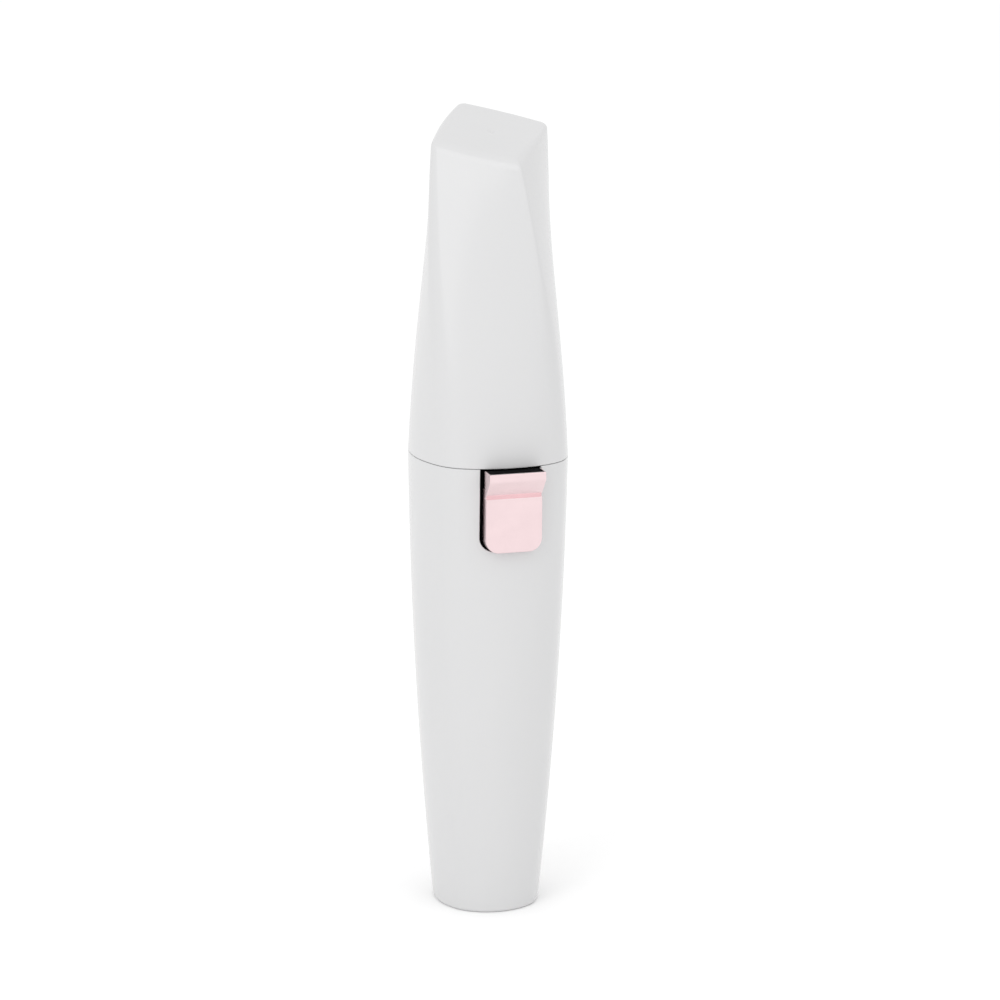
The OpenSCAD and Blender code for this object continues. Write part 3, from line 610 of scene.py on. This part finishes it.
class Shader:
    """A Principled material whose colour, roughness and surface relief come from noise."""

    def __init__(self, name, roughness, metallic=0.0, **sockets):
        self.material = bpy.data.materials.new(name)
        self.material.use_nodes = True
        self.nodes = self.material.node_tree.nodes
        self.links = self.material.node_tree.links
        self.main = self.nodes["Principled BSDF"]
        self.main.inputs["Metallic"].default_value = metallic
        self.roughness = roughness
        for socket, value in sockets.items():
            self.main.inputs[socket.replace("_", " ")].default_value = value
        self.place = self.nodes.new("ShaderNodeTexCoord").outputs["Object"]

    def scaled(self, stretch):
        """Object coordinates stretched along an axis, for brushed or drawn surfaces."""
        node = self.nodes.new("ShaderNodeVectorMath")
        node.operation = "MULTIPLY"
        node.inputs[1].default_value = stretch
        self.links.new(self.place, node.inputs[0])
        return node.outputs[0]

    def noise(self, size, detail=3.0, stretch=(1, 1, 1)):
        """Noise whose cells are about size millimetres across."""
        node = self.nodes.new("ShaderNodeTexNoise")
        node.inputs["Scale"].default_value = 1 / (size * MM)
        node.inputs["Detail"].default_value = detail
        self.links.new(self.scaled(stretch), node.inputs["Vector"])
        return node.outputs["Fac"]

    def blend(self, factor, first, second):
        node = self.nodes.new("ShaderNodeMix")
        node.data_type = "RGBA"
        self.links.new(factor, node.inputs["Factor"])
        for name, value in (("A", first), ("B", second)):
            if isinstance(value, tuple):
                node.inputs[name].default_value = (*value, 1)
            else:
                self.links.new(value, node.inputs[name])
        return node.outputs["Result"]

    def ramp(self, factor, low, high):
        """The factor's range from low to high, stretched to 0 to 1."""
        node = self.nodes.new("ShaderNodeMapRange")
        node.inputs["From Min"].default_value = low
        node.inputs["From Max"].default_value = high
        self.links.new(factor, node.inputs["Value"])
        return node.outputs["Result"]

    def colour(self, output):
        self.links.new(output, self.main.inputs["Base Color"])

    def polish(self, factor, spread):
        """Roughness that varies by spread either side of its mean."""
        node = self.nodes.new("ShaderNodeMapRange")
        node.inputs["From Min"].default_value = 0.3
        node.inputs["From Max"].default_value = 0.7
        node.inputs["To Min"].default_value = self.roughness - spread
        node.inputs["To Max"].default_value = self.roughness + spread
        self.links.new(factor, node.inputs["Value"])
        self.links.new(node.outputs["Result"], self.main.inputs["Roughness"])

    def relief(self, layers):
        """Bumps from (height, depth in millimetres) pairs, one on top of the other."""
        below = None
        for height, depth in layers:
            node = self.nodes.new("ShaderNodeBump")
            node.inputs["Strength"].default_value = 1
            node.inputs["Distance"].default_value = depth * MM
            self.links.new(height, node.inputs["Height"])
            if below is not None:
                self.links.new(below, node.inputs["Normal"])
            below = node.outputs["Normal"]
        self.links.new(below, self.main.inputs["Normal"])


def moulded(name, colour, roughness, grain=0.12, depth=0.0008, shade=0.97, **sockets):
    """Injection-moulded plastic: faint flow clouds, and a fine spark-eroded texture."""
    s = Shader(name, roughness, **sockets)
    clouds = s.noise(14, 2, (1, 1, 0.35))
    fine = s.noise(grain, 2)
    s.colour(s.blend(s.ramp(clouds, 0.3, 0.7), colour, tuple(shade * c for c in colour)))
    s.polish(fine, roughness * 0.12)
    s.relief([(fine, depth), (s.noise(3.5, 1), depth * 1.5)])
    return s.material


def brushed(name, colour, roughness, stretch=(1, 1, 0.06), depth=0.0015, shade=0.85):
    """Drawn or brushed metal, with lines along the axis where stretch is small."""
    s = Shader(name, roughness, 1.0)
    lines = s.noise(0.09, 4, stretch)
    s.colour(s.blend(s.ramp(s.noise(1.3, 3), 0.3, 0.7), colour, tuple(shade * c for c in colour)))
    s.polish(lines, roughness * 0.35)
    s.relief([(lines, depth)])
    return s.material


def plated(name, colour, roughness):
    """Satin plating over moulded plastic: even colour, soft orange peel, tiny pits."""
    s = Shader(name, roughness, 1.0)
    tone = s.ramp(s.noise(2.2, 2), 0.3, 0.7)
    s.colour(s.blend(tone, colour, tuple(0.965 * c for c in colour)))
    s.polish(s.noise(0.25, 3), roughness * 0.2)
    s.relief([(s.noise(0.9, 2), 0.0012), (s.noise(0.06, 2), 0.00025)])
    return s.material


def circuit_board():
    """Green solder mask over copper tracks."""
    s = Shader("solder_mask", 0.35, 0.0, Coat_Weight=0.4, Coat_Roughness=0.15)
    tracks = s.nodes.new("ShaderNodeTexBrick")
    tracks.inputs["Scale"].default_value = 1 / (3.2 * MM)
    tracks.inputs["Mortar Size"].default_value = 0.09
    tracks.inputs["Color1"].default_value = (0, 0, 0, 1)
    tracks.inputs["Color2"].default_value = (0, 0, 0, 1)
    tracks.inputs["Mortar"].default_value = (1, 1, 1, 1)
    turn = s.nodes.new("ShaderNodeMapping")
    turn.inputs["Rotation"].default_value = (math.pi / 2, 0, 0)
    s.links.new(s.place, turn.inputs["Vector"])
    s.links.new(turn.outputs["Vector"], tracks.inputs["Vector"])
    base = s.blend(s.ramp(s.noise(0.4, 3), 0.3, 0.7), (0.012, 0.10, 0.03), (0.016, 0.13, 0.04))
    s.colour(s.blend(tracks.outputs["Color"], base, (0.03, 0.22, 0.07)))
    s.polish(s.noise(0.3, 2), 0.05)
    s.relief([(tracks.outputs["Color"], 0.02)])
    return s.material


def wound_copper():
    """Enamelled copper wire wound side by side, in bands one wire wide, with painted shade in the
    grooves between the wires.
    """
    s = Shader("copper_windings", 0.3, 1.0, Coat_Weight=0.6, Coat_Roughness=0.1)
    wires = s.nodes.new("ShaderNodeTexWave")
    wires.bands_direction = "X"
    wires.inputs["Scale"].default_value = 0.3 / (0.2 * MM)
    wires.inputs["Distortion"].default_value = 0.8
    wires.inputs["Detail"].default_value = 1
    s.links.new(s.place, wires.inputs["Vector"])
    # Painted shade: the colour darkens to brown in the grooves between wires, where the same
    # bands set the bump low.
    s.colour(s.blend(wires.outputs["Fac"], (0.28, 0.07, 0.02), (0.85, 0.36, 0.14)))
    s.polish(s.noise(0.3, 2), 0.06)
    s.relief([(wires.outputs["Fac"], 0.08)])
    return s.material


def cell_sleeve():
    """Shrink film round the cell: soft wrinkles, and a lighter ring at the positive end."""
    s = Shader("shrink_film", 0.28, 0.0, Coat_Weight=0.3, Coat_Roughness=0.1)
    height = s.nodes.new("ShaderNodeSeparateXYZ")
    s.links.new(s.place, height.inputs[0])
    ring = s.ramp(height.outputs["Z"], 0.0632, 0.0635)
    film = s.blend(s.ramp(s.noise(4, 3), 0.3, 0.7), (0.02, 0.09, 0.30), (0.03, 0.12, 0.36))
    s.colour(s.blend(ring, film, (0.55, 0.58, 0.62)))
    s.polish(s.noise(0.5, 2), 0.05)
    s.relief([(s.noise(2.5, 3, (1, 1, 0.2)), 0.03)])
    return s.material


def rubber(name, colour, roughness=0.6):
    s = Shader(name, roughness, 0.0, Sheen_Weight=0.15)
    fine = s.noise(0.07, 3)
    s.colour(s.blend(s.ramp(s.noise(1.2, 2), 0.3, 0.7), colour, tuple(0.9 * c for c in colour)))
    s.polish(fine, 0.08)
    s.relief([(fine, 0.003)])
    return s.material


WHITE = (0.6, 0.6, 0.604)
shell_white = moulded("gloss_white_abs", WHITE, 0.24, depth=0.0004, shade=0.985)
inner_white = moulded("satin_white_abs", (0.76, 0.76, 0.765), 0.45)
acetal = moulded("ivory_acetal", (0.72, 0.70, 0.62), 0.35, Subsurface_Weight=0.1,
                 Subsurface_Scale=0.001)
black = moulded("black_abs", (0.003, 0.003, 0.0035), 0.6,
               Specular_IOR_Level=0.01)
dark_nylon = moulded("dark_nylon", (0.035, 0.036, 0.04), 0.5)
chip = moulded("chip_epoxy", (0.02, 0.02, 0.022), 0.6, 0.05, 0.002)
rose_gold = plated("rose_gold_plating", (0.82, 0.655, 0.67), 0.2)
steel = brushed("drawn_steel", (0.62, 0.62, 0.63), 0.25, (0.06, 1, 1))
turned_steel = brushed("turned_steel", (0.60, 0.60, 0.61), 0.22, (1, 1, 1))
blade_steel = brushed("blade_steel", (0.68, 0.68, 0.69), 0.2, (1, 0.5, 1))
nickel = brushed("nickel_plate", (0.66, 0.63, 0.58), 0.28)
brass = brushed("machined_brass", (0.80, 0.58, 0.26), 0.25, (1, 1, 1))
copper = brushed("bare_copper", (0.85, 0.42, 0.26), 0.3, (1, 1, 1))
bronze = brushed("sintered_bronze", (0.60, 0.40, 0.20), 0.45, (1, 1, 1), 0.004)
ferrite = moulded("ferrite", (0.03, 0.03, 0.033), 0.7, 0.05, 0.004)
seal_grey = rubber("grey_silicone", (0.55, 0.55, 0.56))
seal_dark = rubber("dark_silicone", (0.03, 0.03, 0.032))
red_pvc = rubber("red_pvc", (0.45, 0.02, 0.02), 0.4)
black_pvc = rubber("black_pvc", (0.012, 0.012, 0.012), 0.4)

FINISHES = [
    (inner_white, ["neck", "motor_end_bell", "drum_core"]),
    (shell_white, ["head_housing"]),
    (rose_gold, ["collar_ring"]),
    (seal_grey, ["cap_seal"]),
    (seal_dark, ["switch_seal"]),
    (black, ["switch_bed", "switch_carrier", "usb_tongue", "switch_actuator"]),
    (dark_nylon, ["chassis", "gear_frame", "gear_cover", "press_cam"]),
    (steel, ["crown_axle", "idler_axle", "drum_axle"]),
    (turned_steel, ["rotor_shaft", "board_screws", "cover_screws"]),
    (nickel, ["slide_switch", "usb_shell", "battery_terminal", "contact_positive",
              "contact_negative", "motor_can"]),
    (blade_steel, ["fixed_tweezers", "moving_tweezers"]),
    (circuit_board(), ["main_board", "charge_board"]),
    (chip, ["board_components"]),
    (cell_sleeve(), ["battery_cell"]),
    (red_pvc, ["battery_wires"]),
    (black_pvc, ["motor_wires"]),
    (ferrite, ["motor_magnets"]),
    (copper, ["motor_brushes", "commutator"]),
    (brass, ["motor_terminals", "motor_pinion"]),
    (bronze, ["motor_bushes", "drum_bushes"]),
    (wound_copper(), ["rotor_core"]),
    (acetal, ["crown_gear", "idler_gear", "drum_gear"]),
]
for finish, names in FINISHES:
    for node_name in names:
        node_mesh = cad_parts[node_name].data
        node_mesh.materials.clear()
        node_mesh.materials.append(finish)

build_handle(shell_white)
build_cap(shell_white)
build_trim(rose_gold)


# ---- Floor, light and camera ----

PAPER_COLOUR = (0.94, 0.94, 0.94)
PAPER_SIZE = 12


def build_floor():
    """Plain matt white paper."""
    half = PAPER_SIZE / 2
    mesh = bpy.data.meshes.new("floor")
    mesh.from_pydata([(-half, -half, 0), (half, -half, 0), (half, half, 0), (-half, half, 0)],
                     [], [(0, 1, 2, 3)])
    floor = bpy.data.objects.new("floor", mesh)
    bpy.context.scene.collection.objects.link(floor)
    paper = bpy.data.materials.new("floor_paper")
    paper.use_nodes = True
    main = paper.node_tree.nodes["Principled BSDF"]
    main.inputs["Base Color"].default_value = (*PAPER_COLOUR, 1)
    main.inputs["Roughness"].default_value = 1
    main.inputs["Specular IOR Level"].default_value = 0
    mesh.materials.append(paper)


def direction(azimuth, elevation):
    """Away from the object; azimuth 0 is straight in front, and 90 is on its right."""
    a, e = math.radians(azimuth), math.radians(elevation)
    return Vector((math.sin(a) * math.cos(e), -math.cos(a) * math.cos(e), math.sin(e)))


def build_world(strength):
    """An evenly white studio."""
    world = bpy.data.worlds.new("studio")
    bpy.context.scene.world = world
    world.use_nodes = True
    back = world.node_tree.nodes["Background"]
    back.inputs["Color"].default_value = (1, 1, 1, 1)
    back.inputs["Strength"].default_value = strength


def softbox(name, azimuth, elevation, distance, size, power):
    """An area light of a width and height that faces the object's middle."""
    middle = Vector((0, 0, (cad_low.z + cad_high.z) / 2))
    away = direction(azimuth, elevation)
    data = bpy.data.lights.new(name, "AREA")
    data.shape = "RECTANGLE"
    data.size, data.size_y = size
    data.energy = power
    light = bpy.data.objects.new(name, data)
    light.location = middle + away * distance
    light.rotation_mode = "QUATERNION"
    light.rotation_quaternion = away.to_track_quat("Z", "Y")
    bpy.context.scene.collection.objects.link(light)


CAMERA_AZIMUTH, CAMERA_ELEVATION, CAMERA_ROLL = -17.046, 13.422, 0.362
CAMERA_DISTANCE, CAMERA_LENS = 700, 140.15
CAMERA_AIM = (2.15, -0.66, 74.69)


def build_camera():
    away = direction(CAMERA_AZIMUTH, CAMERA_ELEVATION)
    data = bpy.data.cameras.new("camera")
    data.lens = CAMERA_LENS
    data.sensor_width = 36
    camera = bpy.data.objects.new("camera", data)
    camera.location = (Vector(CAMERA_AIM) + away * CAMERA_DISTANCE) * MM
    camera.rotation_mode = "QUATERNION"
    roll = Quaternion((0, 0, 1), math.radians(CAMERA_ROLL))
    camera.rotation_quaternion = away.to_track_quat("Z", "Y") @ roll
    bpy.context.scene.collection.objects.link(camera)
    bpy.context.scene.camera = camera


build_floor()
build_world(1.08)
softbox("left_softbox", -50, 30, 0.8, (0.4, 0.8), 1.25)
softbox("right_softbox", 25, 30, 0.8, (0.4, 0.8), 0.4)
build_camera()
bpy.context.scene.view_settings.view_transform = "Standard"
